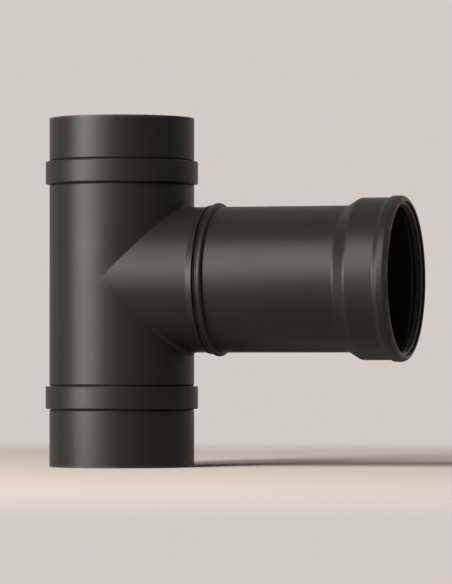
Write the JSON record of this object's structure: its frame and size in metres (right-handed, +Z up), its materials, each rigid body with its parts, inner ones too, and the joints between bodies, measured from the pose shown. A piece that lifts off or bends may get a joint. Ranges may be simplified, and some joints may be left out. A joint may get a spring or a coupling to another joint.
{
  "type": "stove pipe tee",
  "caption": "Black sheet-steel stove pipe tee: straight vertical run with a stop band near each open end, and a level branch welded on at a mitre that ends in a sealed socket.",
  "frame": {"origin": "centre of the lower spigot's end face, on the run's axis", "axes": "+Z up along the run's axis, from the lower spigot to the upper one; +X along the branch's axis, out of the socket's mouth"},
  "size_m": [0.2042, 0.0904, 0.1925],
  "materials": {
    "black_paint": "heat-resistant matt black stove paint on sheet steel, fine even grain, soft broad highlights",
    "silicone": "black heat-resistant silicone, smooth and slightly satin"
  },
  "bodies": {
    "root": {"run_tube": "black_paint", "upper_band": "black_paint", "lower_band": "black_paint", "branch_collar": "black_paint", "mitre_weld": "black_paint", "branch_tube": "black_paint", "groove_weld": "black_paint", "socket_seal": "silicone"}
  },
  "joints": []
}
